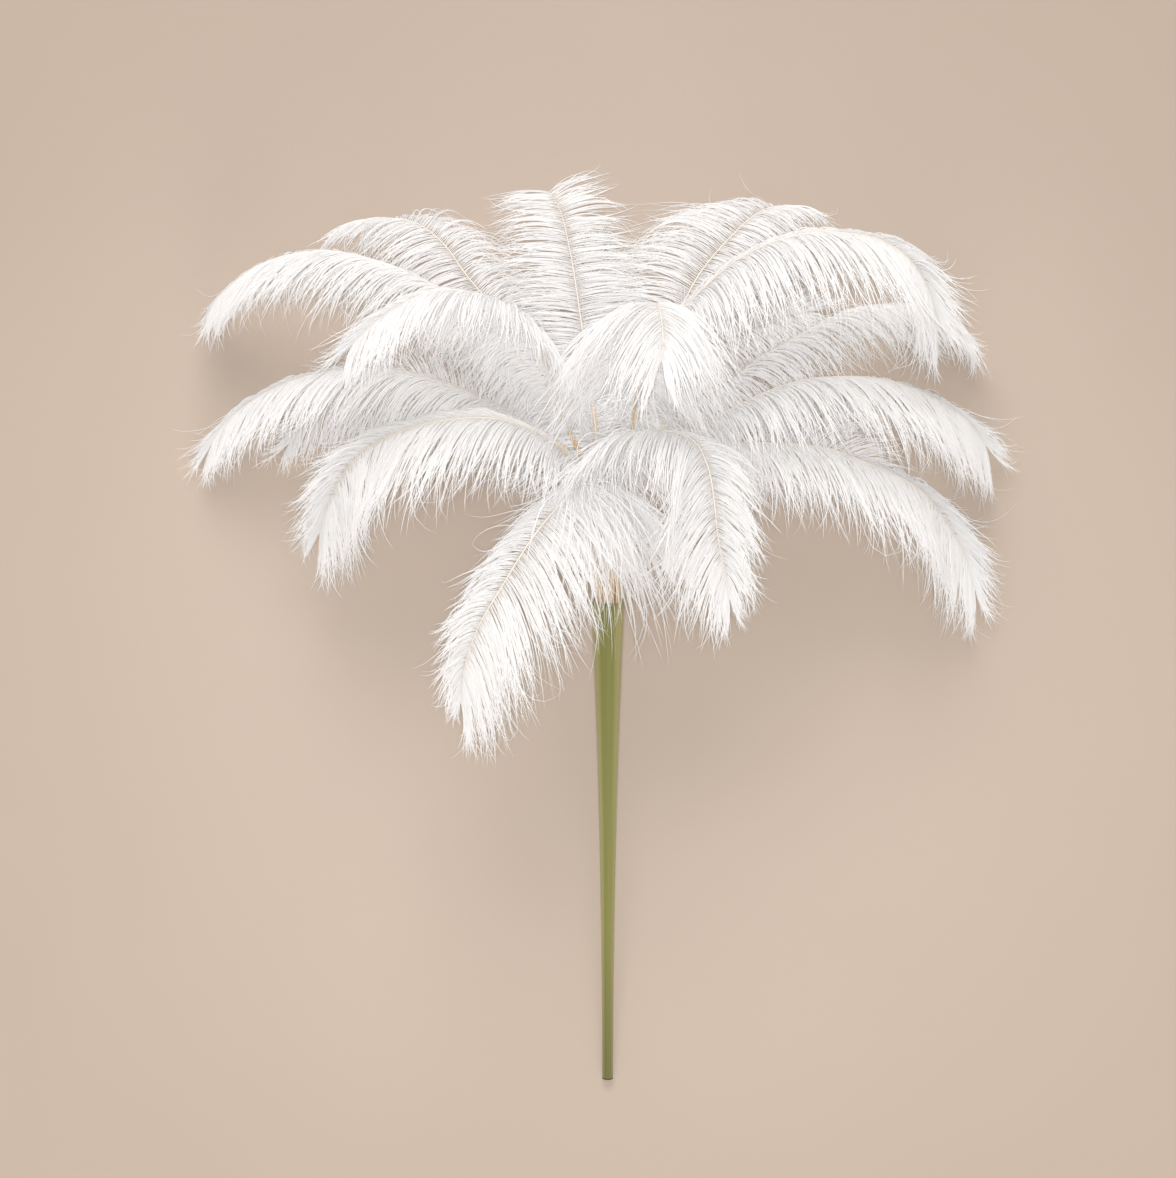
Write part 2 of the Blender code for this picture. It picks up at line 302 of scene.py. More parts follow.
# How unlike the plume's rule a barb is: first what changes slowly along the shaft, then each barb's own.
# Turns are in degrees, lengths and droops shares of the plume's own, and curl bends the tip's heading.
barbDrift = {
    "place": 0.35,
    "sweep": (0.7, 1.3),
    "rise": (1.6, 4.0),
    "length": (0.04, (-0.32, 0.08)),
    "droop": (0.04, 0.09),
    "curl": (0.08, 0.52),
    "slow": 8,  # barbs on each side that share a drift
    "quick": 5,
}

strayDrift = {
    "sweep": (0.0, 8.0),
    "rise": (4.0, 10.0),
    "length": (0.80, 1.18),
    "droop": (0.7, 1.4),
    "curl": 0.95,
    "width": 0.6,
}

# A barb is a soft strip, a second one that crosses it and makes it round, and finer ones that part
# from it.
barbShape = {
    "width": 0.00135,
    "crossWidth": 0.00095,
    "fineWidth": 0.00062,
    "fine": 2,
    "beside": 0.0010,  # how far a finer strip lies from its barb, and how far its tip strays
    "splay": 0.0032,
    "wave": 0.0016,
    "waveTurns": (0.5, 1.7),
    "widthSpread": (0.75, 1.15),
    "crossSpread": (0.7, 1.1),
    "fineSpread": (0.8, 1.2),
    "crossEnd": (0.80, 0.95),  # where the crossing strips end along the barb
    "fineShort": 0.35,  # how much shorter the finer strips can be
    "twistSpread": (0.35, 0.40),
    "mostBeside": 1.8,
    "liftedNormal": 1.6,  # how far the shading turns up, as down does that scatters light
    "level": 0.70,  # how far a strip turns its breadth up
    "rounding": 0.80,  # how far the two edges' shading parts
    "twist": 0.45,
    "foot": 0.60,  # the width at the shaft and at the tip, as shares of the full width
    "footReach": 0.2,
    "tip": 0.28,
    "tipFrom": 0.40,
    "lowest": 0.0002,  # above the surface
}

# Where a plume's parts lie on its map: the barbs on each side of middle, the shaft beyond them.
mapLayout = {
    "middle": 0.47,
    "side": 0.45,
    "stripHalf": 0.0007,
    "shaftFrom": 0.965,
    "shaftWidth": 0.03,
    "margin": 0.01,  # least distance from the barbs' middle and from the stem's own map's edges
}

# Routes are in millimetres: x and y from the stem's mouth, z from the surface. slot is the quill's ring
# and angle in the cup. facing is the way that the plume leans, in degrees round the stem, at its vane's
# base and tip. barb has the longest barbs on the shaft's two sides, bare is how much of the quill shows,
# and reach how far up its route the shaft comes.
plumes = {
    "plume_front_dome": {
        "route": [(16, 148, 203), (27, 199, 230), (33, 243, 265), (39, 287, 305), (45, 322, 345),
                  (53, 331, 368), (58, 316, 388), (60, 283, 395), (57, 250, 385)],
        "slot": (0, 60), "facing": (-5, -5), "bare": 292, "reach": 0.97, "barb": (172, 165),
        "base": (0.85, 0.85), "tip": 0.45, "sweep": (80, 48), "droop": 2.6, "camber": 0,
        "roll": (0, 0), "hold": (0.0, 0.35), "tipPower": 3.0, "early": 0.02, "closing": 0.5,
    },
    "plume_left_dome": {
        "route": [(-29, 160, 197), (-49, 207, 216), (-64, 252, 244), (-84, 292, 276), (-112, 328, 308),
                  (-152, 345, 330), (-196, 345, 338), (-246, 322, 326), (-288, 287, 296), (-306, 252, 270)],
        "slot": (0, 120), "facing": (-50, -60), "bare": 255, "reach": 0.93, "barb": (128, 120),
        "base": (0.55, 0.5), "tip": 0.6, "sweep": (56, 34), "droop": 2.3, "camber": 2,
        "roll": (12, -28),
    },
    "plume_right_crown": {
        "route": [(32, 205, 210), (64, 283, 232), (82, 326, 244), (111, 356, 255), (139, 380, 266),
                  (180, 402, 278), (223, 413, 284), (265, 414, 280), (307, 407, 266), (337, 390, 248),
                  (357, 367, 226), (372, 334, 198), (384, 289, 156)],
        "slot": (0, 0), "facing": (75, 60), "bare": 330, "reach": 0.94, "barb": (165, 140),
        "base": (0.55, 0.6), "tip": 0.5, "sweep": (58, 32), "droop": 2.2, "camber": 2,
        "roll": (25, 25),
        "skirts": [
            {"barbs": 150, "fine": 1, "span": (-0.150, -0.020), "lean": (0.25, 0.00, 0.10), "spread": 0.45,
             "length": (0.06, 0.120), "droop": (0.8, 2.6), "curl": 0.35},
        ],
    },
    "plume_left_high": {
        "route": [(-44, 190, 186), (-123, 305, 203), (-222, 371, 194), (-271, 390, 182),
                  (-326, 401, 161), (-395, 390, 119), (-444, 360, 71), (-486, 316, 20)],
        "slot": (0, 180), "facing": (-90, -70), "bare": 300, "reach": 0.93, "barb": (125, 135),
        "base": (0.7, 0.7), "tip": 0.5, "sweep": (52, 30), "droop": 2.0, "camber": 2,
        "roll": (-15, -8),
    },
    "plume_right_high": {
        "route": [(42, 184, 154), (134, 246, 142), (173, 277, 130), (208, 297, 122), (243, 318, 112),
                  (280, 336, 99), (319, 342, 84), (349, 343, 68), (400, 332, 38), (442, 281, 8)],
        "slot": (0, 300), "facing": (90, 70), "bare": 300, "reach": 0.94, "barb": (118, 112),
        "base": (0.7, 0.7), "tip": 0.55, "sweep": (56, 32), "droop": 2.0, "camber": 2,
        "roll": (20, 15),
    },
    "plume_top": {
        "route": [(-18, 230, 140), (-31, 322, 118), (-44, 405, 95), (-58, 459, 72), (-79, 487, 50)],
        "slot": (0, 240), "facing": (180, 180), "bare": 220, "reach": 0.965, "barb": (100, 108),
        "base": (0.9, 0.9), "tip": 0.72, "sweep": (76, 74), "droop": 0.6, "camber": 6, "roll": (0, 0),
        "skew": 14, "closing": 0.1,
    },
    "plume_front_left": {
        "route": [(-12, 108, 212), (-29, 128, 242), (-52, 111, 266), (-87, 68, 284), (-122, 12, 290),
                  (-146, -29, 282), (-161, -71, 265), (-167, -113, 240), (-167, -156, 205)],
        "slot": (1, 105), "facing": (-25, -25), "bare": 140, "reach": 0.91, "barb": (85, 165),
        "base": (0.6, 1.0), "tip": 0.42, "sweep": (84, 36), "droop": 1.7, "camber": 4, "roll": (0, 0),
        "barbsPerMetre": 980.0,
        "skirts": [
            {"barbs": 220, "fine": 2, "span": (-0.075, 0.060), "lean": (0.45, 0.00, 0.45), "spread": 0.34,
             "length": (0.10, 0.185), "droop": (2.0, 4.0), "curl": 0.30},
        ],
    },
    "plume_front_right": {
        "route": [(0, 143, 214), (19, 178, 254), (61, 191, 284), (96, 179, 299), (111, 152, 303),
                  (118, 118, 302), (123, 73, 291), (132, 28, 271), (146, -44, 230)],
        "slot": (1, 75), "facing": (35, 10), "bare": 190, "reach": 0.91, "barb": (145, 105),
        "base": (0.9, 0.6), "tip": 0.42, "sweep": (80, 36), "droop": 1.9, "camber": 4, "roll": (0, 0),
        "barbsPerMetre": 900.0,
        "skirts": [
            {"barbs": 120, "fine": 2, "span": (-0.100, 0.030), "lean": (-0.15, 0.10, 0.50), "spread": 0.38,
             "length": (0.09, 0.17), "droop": (1.8, 3.6), "curl": 0.30},
        ],
    },
    "plume_left_low": {
        "route": [(-32, 143, 205), (-68, 182, 238), (-117, 203, 262), (-152, 206, 268),
                  (-199, 201, 262), (-239, 190, 242), (-282, 166, 205), (-306, 140, 170),
                  (-325, 103, 125), (-344, 43, 65)],
        "slot": (1, 135), "facing": (-60, -60), "bare": 205, "reach": 0.93, "barb": (105, 145),
        "base": (0.7, 0.7), "tip": 0.55, "sweep": (52, 32), "droop": 2.0, "camber": 2,
        "roll": (-35, -35),
    },
    "plume_right_low": {
        "route": [(38, 149, 184), (99, 176, 196), (168, 179, 198), (213, 178, 192), (248, 174, 184),
                  (292, 159, 167), (333, 143, 145), (364, 124, 122), (394, 88, 86), (419, 45, 50),
                  (440, -35, 8)],
        "slot": (1, 10), "facing": (80, 60), "bare": 245, "reach": 0.93, "barb": (145, 120),
        "base": (0.7, 0.7), "tip": 0.5, "sweep": (60, 30), "droop": 2.2, "camber": 2, "firstHang": 0.05,
        "roll": (5, 40),
    },
    "plume_right_middle": {
        "route": [(40, 154, 197), (116, 204, 200), (175, 235, 204), (218, 250, 202), (263, 255, 193),
                  (309, 254, 174), (347, 245, 148), (381, 231, 118), (417, 209, 80), (440, 181, 45),
                  (463, 138, 20)],
        "slot": (1, 36), "facing": (85, 60), "bare": 255, "reach": 0.93, "barb": (145, 125),
        "base": (0.7, 0.7), "tip": 0.5, "sweep": (58, 30), "droop": 2.2, "camber": 2, "firstHang": 0.05,
        "roll": (8, 22), "hold": (0.1, 0.55),
    },
    "plume_left_middle": {
        "route": [(-38, 160, 172), (-84, 201, 168), (-129, 223, 163), (-177, 244, 157), (-250, 265, 144),
                  (-319, 264, 122), (-386, 246, 86), (-449, 203, 40), (-484, 138, 8)],
        "slot": (1, 162), "facing": (-90, -70), "bare": 255, "reach": 0.93, "barb": (125, 130),
        "base": (0.7, 0.7), "tip": 0.5, "sweep": (54, 30), "droop": 2.1, "camber": 2,
        "roll": (-18, -25),
    },
    "plume_back_left": {
        "route": [(-38, 196, 132), (-96, 294, 102), (-162, 374, 86), (-194, 417, 76), (-232, 442, 62),
                  (-277, 440, 46), (-309, 417, 28)],
        "slot": (1, 190), "facing": (-165, -165), "bare": 285, "reach": 0.95, "barb": (85, 112),
        "base": (0.7, 0.7), "tip": 0.7, "sweep": (74, 58), "droop": 1.3, "camber": 4, "roll": (0, 0),
        "skew": 12, "closing": 0.25,
    },
    "plume_back_right": {
        "route": [(48, 242, 138), (97, 362, 122), (122, 398, 112), (144, 422, 102), (167, 444, 88),
                  (198, 458, 68), (241, 441, 40)],
        "slot": (1, 335), "facing": (165, 170), "bare": 250, "reach": 0.95, "barb": (85, 150),
        "base": (0.8, 0.8), "tip": 0.75, "sweep": (78, 70), "droop": 1.25, "camber": 4, "roll": (0, 0),
        "skew": -10, "closing": 0.25,
    },
    "plume_back_middle": {
        "route": [(-14, 161, 122), (-16, 202, 104), (9, 228, 84), (60, 262, 60), (124, 298, 44),
                  (189, 325, 30), (260, 341, 16)],
        "slot": (1, 268), "facing": None, "bare": 190, "reach": 0.96, "barb": (70, 90), "base": (0.7, 0.7),
        "tip": 0.6, "sweep": (70, 40), "droop": 0.8, "camber": 8,
    },
    "plume_under_left": {
        "route": [(-56, 160, 102), (-130, 215, 58), (-210, 240, 28), (-290, 235, 12), (-350, 205, 6),
                  (-390, 165, 3)],
        "slot": (1, 215), "facing": None, "bare": 200, "reach": 0.96, "barb": (95, 95), "fine": 0,
        "base": (0.7, 0.7), "tip": 0.5, "sweep": (70, 36), "droop": 0.8, "camber": 8,
    },
    "plume_under_middle": {
        "route": [(-22, 196, 88), (-16, 302, 44), (-14, 385, 18), (-14, 435, 4)],
        "slot": (1, 240), "facing": None, "bare": 260, "reach": 0.96, "barb": (75, 75), "fine": 0,
        "base": (0.7, 0.7), "tip": 0.5, "sweep": (70, 36), "droop": 0.6, "camber": 8,
    },
    "plume_under_right": {
        "route": [(60, 150, 98), (130, 175, 52), (210, 180, 24), (290, 165, 8), (350, 130, 3)],
        "slot": (1, 300), "facing": None, "bare": 190, "reach": 0.96, "barb": (95, 95), "fine": 0,
        "base": (0.7, 0.7), "tip": 0.5, "sweep": (70, 36), "droop": 0.8, "camber": 8,
    },
}


def smoothCurve(points, perSpan=12):
    points = np.asarray(points, float)
    ends = np.vstack([2 * points[0] - points[1], points, 2 * points[-1] - points[-2]])
    rows = []
    for i in range(1, len(ends) - 2):
        a, b, c, d = ends[i - 1:i + 3]
        # knots spaced by the root of each chord keep the curve free of loops
        chords = [np.linalg.norm(b - a), np.linalg.norm(c - b), np.linalg.norm(d - c)]
        knots = np.cumsum([0.0] + [math.sqrt(chord) for chord in chords])
        for t in np.linspace(knots[1], knots[2], perSpan, endpoint=False):
            ab = ((knots[1] - t) * a + t * b) / knots[1]
            bc = ((knots[2] - t) * b + (t - knots[1]) * c) / (knots[2] - knots[1])
            cd = ((knots[3] - t) * c + (t - knots[2]) * d) / (knots[3] - knots[2])
            abc = ((knots[2] - t) * ab + t * bc) / knots[2]
            bcd = ((knots[3] - t) * bc + (t - knots[1]) * cd) / (knots[3] - knots[1])
            rows.append(((knots[2] - t) * abc + (t - knots[1]) * bcd) / (knots[2] - knots[1]))
    rows.append(points[-1])
    return np.array(rows)


def shaftCurve(plume):
    shape = quillShape
    mouth, along, across, lift = stemLine(stemShape)[1:]
    ring, angle = plume["slot"]
    angle = math.radians(angle)
    offset = shape["rings"][ring] * (math.cos(angle) * across + math.sin(angle) * lift)
    route = [mouth + offset * shape["lean"] - along * shape["depth"], mouth + offset]
    route.append(mouth + along * shape["fanStart"] + offset * shape["fanSpread"])
    for x, y, z in plume["route"]:
        route.append(np.array([x * millimetre + mouth[0], y * millimetre + mouth[1], z * millimetre]))
    curve = smoothCurve(route)
    steps = np.linalg.norm(np.diff(curve, axis=0), axis=1)
    distances = np.concatenate([[0.0], np.cumsum(steps)])
    kept = np.linspace(0.0, distances[-1] * plume["reach"], len(curve))
    return alongCurve(curve, distances, kept), kept


def alongCurve(curve, distances, where):
    return np.stack([np.interp(where, distances, curve[:, i]) for i in range(3)], axis=-1)


def shaftFrame(plume, curve, distances, where, start, reach=0.006):
    ahead = alongCurve(curve, distances, np.minimum(where + reach, distances[-1]))
    behind = alongCurve(curve, distances, np.maximum(where - reach, 0.0))
    forward = unit(ahead - behind)
    if plume["facing"] is None:
        side = unit(np.cross(surfaceUp, forward))
    else:
        share = np.clip((where - start) / (distances[-1] - start), 0.0, 1.0)
        facing = np.radians(plume["facing"][0] + (plume["facing"][1] - plume["facing"][0]) * share)
        hint = np.stack([np.cos(facing), 0.0 * facing, -np.sin(facing)], axis=1)
        side = unit(hint - (forward * hint).sum(axis=1, keepdims=True) * forward)
        roll = np.radians(plume["roll"][0] + (plume["roll"][1] - plume["roll"][0]) * share)[:, None]
        side = side * np.cos(roll) + np.cross(forward, side) * np.sin(roll)
    return alongCurve(curve, distances, where), forward, side, np.cross(forward, side)


def smoothStep(low, high, value):
    share = np.clip((value - low) / (high - low), 0.0, 1.0)
    return share * share * (3.0 - 2.0 * share)


def shaftRadius(share, vaneShare):
    below = np.interp(share, [0.0, vaneShare], [quillShape["radius"], quillShape["vaneRadius"]])
    above = np.interp(share, [vaneShare, 1.0], [quillShape["vaneRadius"], quillShape["tipRadius"]])
    return np.where(share < vaneShare, below, above)


def driftNoise(count, reach, rng):
    # uneven, but neighbours stay alike
    rough = rng.normal(0.0, 1.0, count + 2 * reach)
    kernel = np.hanning(2 * reach + 3)[1:-1]
    return np.convolve(rough, kernel / math.sqrt((kernel**2).sum()), "valid")


def growPaths(plume, curve, distances, start, share, sign, extra):
    # the line of each barb, from the shaft out; extra holds its own turns away from the plume's rule
    shape = vaneShape
    total = distances[-1]
    where = start + (total - start) * share
    place, forward, side, back = shaftFrame(plume, curve, distances, where, start)
    inside = np.clip(share, 0.0, 1.0)
    widest, narrowest = plume["sweep"]
    sweep = widest + (narrowest - widest) * inside**shape["sweepPower"]
    sweep = sweep - sign * plume.get("skew", 0.0) * inside
    # the last barbs lie along the shaft and close the tip
    closed = plume.get("closing", shape["closing"]) * smoothStep(shape["closingFrom"], 1.0, share)
    sweep = np.radians((sweep + extra["sweep"]) * (1.0 - closed))[:, None]
    rise = np.radians(plume["camber"] + extra["rise"])[:, None]
    base = np.where(sign > 0, plume["base"][1], plume["base"][0])
    grown = base + (1.0 - base) * smoothStep(shape["firstShare"], shape["fullShare"], share)
    grown = grown * (1.0 - (1.0 - plume["tip"]) * inside**plume.get("tipPower", shape["tipPower"]))
    longest = np.where(sign > 0, plume["barb"][1], plume["barb"][0]) * millimetre
    length = (longest * grown * extra["length"])[:, None]
    outward = sign[:, None] * side * np.cos(rise) + back * np.sin(rise)
    leave = forward * np.cos(sweep) + outward * np.sin(sweep)
    edge = shaftRadius(where / total, start / total)[:, None]
    point = place + unit(outward) * edge * shape["leaves"]
    rows = [point]
    steps = shape["steps"]
    for step in range(steps):
        t = (step + 0.5) / steps
        hang = (plume["droop"] * (t + plume.get("firstHang", 0.0)) * extra["droop"])[:, None]
        heading = unit(leave + photoDown * hang)
        lean = (heading * outward).sum(axis=1, keepdims=True)
        heading = unit(heading + outward * np.maximum(shape["leastLean"] - lean, 0.0))
        heading = unit(heading + extra["curl"] * t**3)
        point = point + heading * length / steps
        rows.append(point)
    return np.stack(rows, axis=1), forward


def gatherTufts(middle, size, hold, rng):
    # strands gather into tufts towards their ends
    strands = len(middle)
    t = np.linspace(0.0, 1.0, middle.shape[1])
    tuft = np.cumsum(rng.random(strands) < 1.0 / size)
    chief = np.searchsorted(tuft, tuft) + (np.bincount(tuft)[tuft] // 2)
    chief = np.minimum(chief, strands - 1)
    held = rng.uniform(*hold, strands + 1)[tuft] * rng.uniform(*vaneShape["tuftSpread"], strands)
    # the very ends part again
    ease = smoothStep(*vaneShape["tuftReach"], t) * (1.0 - 0.3 * smoothStep(0.85, 1.0, t))
    return middle + (middle[chief] - middle) * (held[:, None] * ease[None])[:, :, None]


def fluffBarbs(middle, fine, rng):
    shape = barbShape
    barbs = len(middle)
    t = np.linspace(0.0, 1.0, middle.shape[1])
    heading = unit(np.gradient(middle, axis=1))
    across = unit(np.cross(heading, surfaceUp + 0.01))
    over = np.cross(heading, across)
    # a slow wave lets neighbouring barbs touch and part
    for direction in (across, over):
        phase = rng.uniform(0.0, 2 * math.pi, (barbs, 1))
        turns = rng.uniform(*shape["waveTurns"], (barbs, 1))
        wave = shape["wave"] * t**1.3 * (np.sin(phase + 2 * math.pi * turns * t) - np.sin(phase))
        middle = middle + direction * wave[:, :, None]
    paths = [middle, slideAlong(middle, rng.uniform(*shape["crossEnd"], barbs))]
    widths = [shape["width"] * rng.uniform(*shape["widthSpread"], barbs)]
    widths.append(shape["crossWidth"] * rng.uniform(*shape["crossSpread"], barbs))
    mainTwist, crossTwist = shape["twistSpread"]
    twists = [rng.normal(0.0, mainTwist, barbs), math.pi / 2 + rng.normal(0.0, crossTwist, barbs)]
    for strip in range(fine):
        path = middle
        for direction in (across, over):
            beside = np.clip(rng.normal(0.0, 1.0, (barbs, 1)), -shape["mostBeside"], shape["mostBeside"])
            beside = beside * shape["beside"] * smoothStep(0.0, 0.3, t)
            splay = rng.normal(0.0, 1.0, (barbs, 1)) * shape["splay"] * t**2.5
            path = path + direction * (beside + splay)[:, :, None]
        # finer strips end at different places along the barb
        paths.append(slideAlong(path, 1.0 - shape["fineShort"] * rng.random(barbs)**1.5))
        widths.append(shape["fineWidth"] * rng.uniform(*shape["fineSpread"], barbs))
        twists.append(rng.uniform(0.0, math.pi, barbs))
    owner = np.tile(np.arange(barbs), 2 + fine)
    return np.concatenate(paths), owner, np.concatenate(widths), np.concatenate(twists)


def driftBarbs(barbs, rng):
    drift, slow, quick = barbDrift, barbDrift["slow"], barbDrift["quick"]
    extra = {}
    for turn in ("sweep", "rise"):
        shared, own = drift[turn]
        extra[turn] = shared * driftNoise(barbs, slow, rng) + rng.normal(0.0, own, barbs)
    shared, own = drift["length"]
    extra["length"] = 1.0 + shared * driftNoise(barbs, quick, rng) + rng.uniform(*own, barbs)
    shared, own = drift["droop"]
    extra["droop"] = 1.0 + shared * driftNoise(barbs, slow, rng) + rng.normal(0.0, own, barbs)
    shared, own = drift["curl"]
    extra["curl"] = rng.normal(0.0, own, (barbs, 3))
    for axis in range(3):
        extra["curl"][:, axis] += shared * driftNoise(barbs, quick, rng)
    return extra


def driftStrays(strays, rng):
    drift = strayDrift
    return {
        "sweep": rng.normal(*drift["sweep"], strays), "rise": rng.normal(*drift["rise"], strays),
        "length": rng.uniform(*drift["length"], strays), "droop": rng.uniform(*drift["droop"], strays),
        "curl": rng.normal(0.0, drift["curl"], (strays, 3)),
    }


def growBarbs(plume, curve, distances, start, rng):
    shape = vaneShape
    hold = plume.get("hold", shape["hold"])
    vane = distances[-1] - start
    below = plume.get("early", shape["early"])
    early = -below / vane
    barbs = int((vane + below) * plume.get("barbsPerMetre", shape["barbsPerMetre"]))
    fine = plume.get("fine", barbShape["fine"])
    grown = []
    for way in (-1.0, 1.0):
        share = np.linspace(early, 1.0, barbs) + rng.normal(0.0, barbDrift["place"] / barbs, barbs)
        share = np.clip(share, early, 1.0)
        signs = np.full(barbs, way)
        extra = driftBarbs(barbs, rng)
        middle, forward = growPaths(plume, curve, distances, start, share, signs, extra)
        middle = gatherTufts(middle, shape["tuft"], hold, rng)
        paths, owner, widths, twists = fluffBarbs(middle, fine, rng)
        grown.append((paths, forward[owner], share[owner], signs[owner], widths, twists))
        # stray barbs that cross the others
        strays = int(barbs * shape["strayShare"])
        share = np.sort(rng.uniform(early, 1.0, strays))
        signs = np.full(strays, way)
        extra = driftStrays(strays, rng)
        middle, forward = growPaths(plume, curve, distances, start, share, signs, extra)
        paths, owner, widths, twists = fluffBarbs(middle, 0, rng)
        widths = strayDrift["width"] * widths
        grown.append((paths, forward[owner], share[owner], signs[owner], widths, twists))
    for skirt in plume.get("skirts", ()):
        grown.append(growSkirt(curve, distances, start, skirt, rng))
    paths, forwards, shares, signs, widths, twists = [np.concatenate(parts) for parts in zip(*grown)]
    over = np.maximum(paths[:, :, 2] - shape["ceiling"], 0.0)
    paths[:, :, 2] += shape["bend"] * (1.0 - np.exp(-over / shape["bend"])) - over
    paths[:, :, 2] = np.maximum(paths[:, :, 2], shape["floorGap"])
    return paths, forwards, shares, signs, widths, twists


def growSkirt(curve, distances, start, skirt, rng):
    # loose barbs low on the shaft that fall over the quills; lean is the way they leave it
    barbs = skirt["barbs"]
    steps = vaneShape["steps"]
    where = np.sort(start + rng.uniform(*skirt["span"], barbs))
    place = alongCurve(curve, distances, where)
    ahead = alongCurve(curve, distances, where + 0.004)
    forward = unit(ahead - place)
    leave = unit(np.array(skirt["lean"]) + rng.normal(0.0, skirt["spread"], (barbs, 3)))
    length = rng.uniform(*skirt["length"], barbs)[:, None]
    droop = rng.uniform(*skirt["droop"], barbs)
    curl = rng.normal(0.0, skirt["curl"], (barbs, 3))
    point = place
    rows = [point]
    for step in range(steps):
        t = (step + 0.5) / steps
        heading = unit(unit(leave + photoDown * (droop * t)[:, None]) + curl * t * t)
        point = point + heading * length / steps
        rows.append(point)
    middle = np.stack(rows, axis=1)
    middle = gatherTufts(middle, vaneShape["skirtTuft"], vaneShape["skirtHold"], rng)
    paths, owner, widths, twists = fluffBarbs(middle, skirt["fine"], rng)
    share = np.clip((where - start) / (distances[-1] - start), -0.1, 1.0)
    signs = np.where(rng.random(len(owner)) < 0.5, -1.0, 1.0)
    return paths, forward[owner], share[owner], signs, widths, twists


def slideAlong(paths, reach):
    # the same paths, cut to a share of their length
    steps = paths.shape[1] - 1
    at = np.linspace(0.0, 1.0, steps + 1)[None] * reach[:, None] * steps
    first = np.minimum(at.astype(int), steps - 1)
    rest = (at - first)[:, :, None]
    rows = np.arange(len(paths))[:, None]
    return paths[rows, first] * (1.0 - rest) + paths[rows, first + 1] * rest


def barbStrips(paths, forwards, shares, signs, widths, twists, rng):
    # a flat strip along each path that ends in a point
    shape = barbShape
    count, rows = paths.shape[:2]
    steps = rows - 1
    heading = unit(np.gradient(paths, axis=1))
    wide = forwards[:, None] - (heading * forwards[:, None]).sum(axis=2, keepdims=True) * heading
    wide = unit(wide + 1e-4)
    # a barb is downy all round, so its main strip mostly shows its breadth from above
    level = np.cross(surfaceUp, heading)
    level *= np.where((level * wide).sum(axis=(1, 2)) < 0.0, -1.0, 1.0)[:, None, None]
    wide = unit((1.0 - shape["level"]) * wide + shape["level"] * level)
    t = np.linspace(0.0, 1.0, rows)
    twist = twists[:, None] + rng.normal(0.0, shape["twist"], count)[:, None] * t
    wide = wide * np.cos(twist)[:, :, None] + np.cross(heading, wide) * np.sin(twist)[:, :, None]
    taper = shape["foot"] + (1.0 - shape["foot"]) * smoothStep(0.0, shape["footReach"], t)
    taper = taper * (1.0 - (1.0 - shape["tip"]) * smoothStep(shape["tipFrom"], 1.0, t))
    half = 0.5 * widths[:, None] * taper[None, :]
    # down scatters light whichever way it lies, so the strips share a normal that leans little from up
    normal = unit(surfaceUp - heading[:, :, 2:] * heading)
    normal = unit(normal + shape["liftedNormal"] * surfaceUp)
    turned = np.cross(wide, heading)[:, :-1, 2] < 0.0
    left = paths - wide * half[:, :, None]
    right = paths + wide * half[:, :, None]
    points = np.empty((count, 2 * steps + 1, 3))
    points[:, 0:2 * steps:2] = left[:, :-1]
    points[:, 1:2 * steps:2] = right[:, :-1]
    points[:, 2 * steps] = paths[:, -1]
    # the two edges' normals part, so that each strip is shaded like a round barb
    rounding = shape["rounding"] * wide[:, :-1]
    normals = np.empty((count, 2 * steps + 1, 3))
    normals[:, 0:2 * steps:2] = unit(normal[:, :-1] - rounding)
    normals[:, 1:2 * steps:2] = unit(normal[:, :-1] + rounding)
    normals[:, 2 * steps] = normal[:, -1]
    # every face is wound so that its front is the side that looks up
    corners = 2 * np.arange(steps - 1)[:, None] + np.array([0, 1, 3, 2])
    quads = np.where(turned[:, :-1, None], corners[None, :, ::-1], corners[None])
    last = np.array([2 * steps - 2, 2 * steps - 1, 2 * steps])
    ends = np.where(turned[:, -1:], last[None, ::-1], last[None])
    base = (np.arange(count) * (2 * steps + 1))[:, None]
    loops = (base + np.concatenate([quads.reshape(count, -1), ends], axis=1)).ravel()
    totals = np.tile(np.array([4] * (steps - 1) + [3]), count)
    # the map: across it the place along the shaft, up it the place along the barb
    low = shares.min()
    outward = np.clip((shares - low) / (1.0 - low), mapLayout["margin"], 1.0)
    across = mapLayout["middle"] + mapLayout["side"] * signs * outward
    layout = np.empty((count, 2 * steps + 1, 2))
    layout[:, 0:2 * steps:2, 0] = (across - mapLayout["stripHalf"])[:, None]
    layout[:, 1:2 * steps:2, 0] = (across + mapLayout["stripHalf"])[:, None]
    layout[:, 2 * steps, 0] = across
    layout[:, 0:2 * steps:2, 1] = t[None, :-1]
    layout[:, 1:2 * steps:2, 1] = t[None, :-1]
    layout[:, 2 * steps, 1] = 1.0
    points = points.reshape(-1, 3)
    points[:, 2] = np.maximum(points[:, 2], shape["lowest"])
    return {
        "points": points,
        "loops": loops,
        "totals": totals,
        "layout": layout.reshape(-1, 2),
        "slot": 0,
        "normals": normals.reshape(-1, 3),
    }


def tubeLoops(rows, sides):
    # four-sided faces between rings that each have one point more than sides, for the map's seam
    ring = sides + 1
    first = (np.arange(rows - 1)[:, None] * ring + np.arange(sides)).reshape(-1, 1)
    return (first + np.array([0, 1, ring + 1, ring])).ravel()


